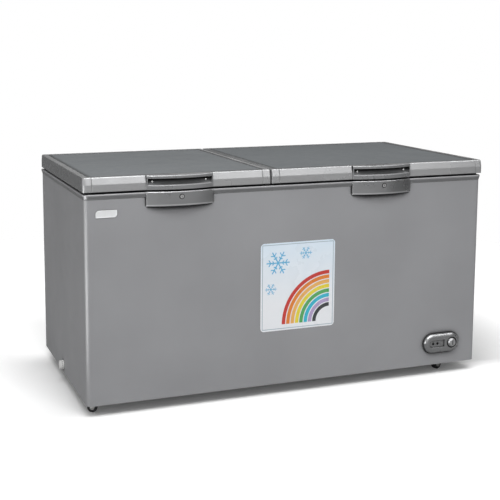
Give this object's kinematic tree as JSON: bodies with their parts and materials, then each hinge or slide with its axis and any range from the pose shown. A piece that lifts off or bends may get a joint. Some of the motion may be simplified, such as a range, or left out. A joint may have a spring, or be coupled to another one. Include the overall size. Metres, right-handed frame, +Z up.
{
  "type": "chest freezer",
  "caption": "Wide grey chest freezer on casters, with side-by-side hinged foam lids, bowed handles over key locks, a front thermostat control and an end drain.",
  "frame": {"origin": "on the floor below the middle of the cabinet", "axes": "+X to the right of someone facing the front, -Y out of the front, +Z up"},
  "size_m": [1.578, 0.8, 0.84],
  "materials": {
    "grey_painted_steel": "satin silver-grey paint on sheet steel",
    "galvanised_steel": "zinc-coated sheet with a faint spangle",
    "silver_grey_plastic": "satin silver-grey moulded plastic",
    "white_coated_steel": "white coated sheet with a fine emboss",
    "white_plastic": "white formed plastic",
    "insulation_foam": "rigid polyurethane foam",
    "seal_rubber": "soft dark seal rubber",
    "black_plastic": "grained black plastic",
    "caster_tyre": "hard black nylon",
    "caster_steel": "zinc-plated pressed steel",
    "black_enamel": "black enamel",
    "steel_tube": "drawn steel tube",
    "aluminium_tube": "drawn aluminium tube",
    "copper": "drawn copper",
    "bright_metal": "bright plated metal",
    "knob_silver": "silver-finished plastic",
    "lamp_lens": "dark lamp lens",
    "hinge_steel": "silver-grey painted pressed steel"
  },
  "bodies": {
    "cabinet": {"outer_shell": "grey_painted_steel", "back_panel": "grey_painted_steel", "base_pan": "galvanised_steel", "bay_panel": "galvanised_steel", "foam_insulation": "insulation_foam", "inner_liner": "white_coated_steel", "rim_collar": "silver_grey_plastic", "centre_beam": "white_plastic", "condenser_coil": "steel_tube", "evaporator_coil": "aluminium_tube", "compressor": "black_enamel", "compressor_grommets": "seal_rubber", "terminal_box": "black_plastic", "filter_drier": "copper", "refrigerant_pipes": "copper", "vent_grille": "black_plastic", "cord_gland": "black_plastic", "control_bezel": "silver_grey_plastic", "indicator_lenses": "lamp_lens", "thermostat": "black_plastic", "drain_spout": "white_plastic", "hinge_brackets": "hinge_steel", "hinge_pins": "hinge_steel", "caster_plates": "galvanised_steel", "left_lock_housing": "silver_grey_plastic", "right_lock_housing": "silver_grey_plastic"},
    "left_lid": {"left_lid_rails": "silver_grey_plastic", "left_lid_corners": "silver_grey_plastic", "left_lid_top_panel": "grey_painted_steel", "left_lid_foam": "insulation_foam", "left_lid_inner_panel": "white_plastic", "left_lid_gasket": "seal_rubber", "left_lid_handle": "silver_grey_plastic", "left_handle_screws": "bright_metal", "left_hinge_arms": "hinge_steel"},
    "left_lock": {"left_lock_cylinder": "bright_metal"},
    "right_lid": {"right_lid_rails": "silver_grey_plastic", "right_lid_corners": "silver_grey_plastic", "right_lid_top_panel": "grey_painted_steel", "right_lid_foam": "insulation_foam", "right_lid_inner_panel": "white_plastic", "right_lid_gasket": "seal_rubber", "right_lid_handle": "silver_grey_plastic", "right_handle_screws": "bright_metal", "right_hinge_arms": "hinge_steel"},
    "right_lock": {"right_lock_cylinder": "bright_metal"},
    "knob": {"thermostat_knob": "knob_silver"},
    "drain_stopper": {"drain_cap": "white_plastic"},
    "caster_swivel_front_left": {"caster_fork_front_left": "caster_steel", "caster_axle_front_left": "caster_steel"},
    "caster_wheel_front_left": {"caster_wheel_front_left": "caster_tyre"},
    "caster_swivel_front_right": {"caster_fork_front_right": "caster_steel", "caster_axle_front_right": "caster_steel"},
    "caster_wheel_front_right": {"caster_wheel_front_right": "caster_tyre"},
    "caster_swivel_rear_left": {"caster_fork_rear_left": "caster_steel", "caster_axle_rear_left": "caster_steel"},
    "caster_wheel_rear_left": {"caster_wheel_rear_left": "caster_tyre"},
    "caster_swivel_rear_right": {"caster_fork_rear_right": "caster_steel", "caster_axle_rear_right": "caster_steel"},
    "caster_wheel_rear_right": {"caster_wheel_rear_right": "caster_tyre"}
  },
  "joints": [
    {"name": "left_lid_hinge", "type": "hinge", "parent": "cabinet", "child": "left_lid", "pos_m": [-0.44375, 0.389, 0.79], "axis": [-1, 0, 0], "range_deg": [0, 80]},
    {"name": "left_lock_turn", "type": "hinge", "parent": "cabinet", "child": "left_lock", "pos_m": [-0.44375, -0.39, 0.765], "axis": [0, -1, 0], "range_deg": [0, 90]},
    {"name": "right_lid_hinge", "type": "hinge", "parent": "cabinet", "child": "right_lid", "pos_m": [0.34275, 0.389, 0.79], "axis": [-1, 0, 0], "range_deg": [0, 80]},
    {"name": "right_lock_turn", "type": "hinge", "parent": "cabinet", "child": "right_lock", "pos_m": [0.34275, -0.39, 0.765], "axis": [0, -1, 0], "range_deg": [0, 90]},
    {"name": "thermostat_knob_turn", "type": "hinge", "parent": "cabinet", "child": "knob", "pos_m": [0.664, -0.389, 0.131], "axis": [0, 1, 0], "range_deg": [0, 300]},
    {"name": "drain_cap_pull", "type": "slide", "parent": "cabinet", "child": "drain_stopper", "axis": [-1, 0, 0], "range_m": [0, 0.03]},
    {"name": "caster_turn_front_left", "type": "hinge", "parent": "cabinet", "child": "caster_swivel_front_left", "pos_m": [-0.732, -0.305, 0.04], "axis": [0, 0, 1], "continuous": true},
    {"name": "wheel_roll_front_left", "type": "hinge", "parent": "caster_swivel_front_left", "child": "caster_wheel_front_left", "pos_m": [-0.74422, -0.30055, 0.018], "axis": [-0.342, -0.9397, 0], "continuous": true},
    {"name": "caster_turn_front_right", "type": "hinge", "parent": "cabinet", "child": "caster_swivel_front_right", "pos_m": [0.64, -0.305, 0.04], "axis": [0, 0, 1], "continuous": true},
    {"name": "wheel_roll_front_right", "type": "hinge", "parent": "caster_swivel_front_right", "child": "caster_wheel_front_right", "pos_m": [0.65272, -0.3023, 0.018], "axis": [-0.2079, 0.9781, 0], "continuous": true},
    {"name": "caster_turn_rear_left", "type": "hinge", "parent": "cabinet", "child": "caster_swivel_rear_left", "pos_m": [-0.732, 0.305, 0.04], "axis": [0, 0, 1], "continuous": true},
    {"name": "wheel_roll_rear_left", "type": "hinge", "parent": "caster_swivel_rear_left", "child": "caster_wheel_rear_left", "pos_m": [-0.72135, 0.31246, 0.018], "axis": [-0.5736, 0.8192, 0], "continuous": true},
    {"name": "caster_turn_rear_right", "type": "hinge", "parent": "cabinet", "child": "caster_swivel_rear_right", "pos_m": [0.64, 0.305, 0.04], "axis": [0, 0, 1], "continuous": true},
    {"name": "wheel_roll_rear_right", "type": "hinge", "parent": "caster_swivel_rear_right", "child": "caster_wheel_rear_right", "pos_m": [0.65222, 0.30055, 0.018], "axis": [0.342, 0.9397, 0], "continuous": true}
  ]
}
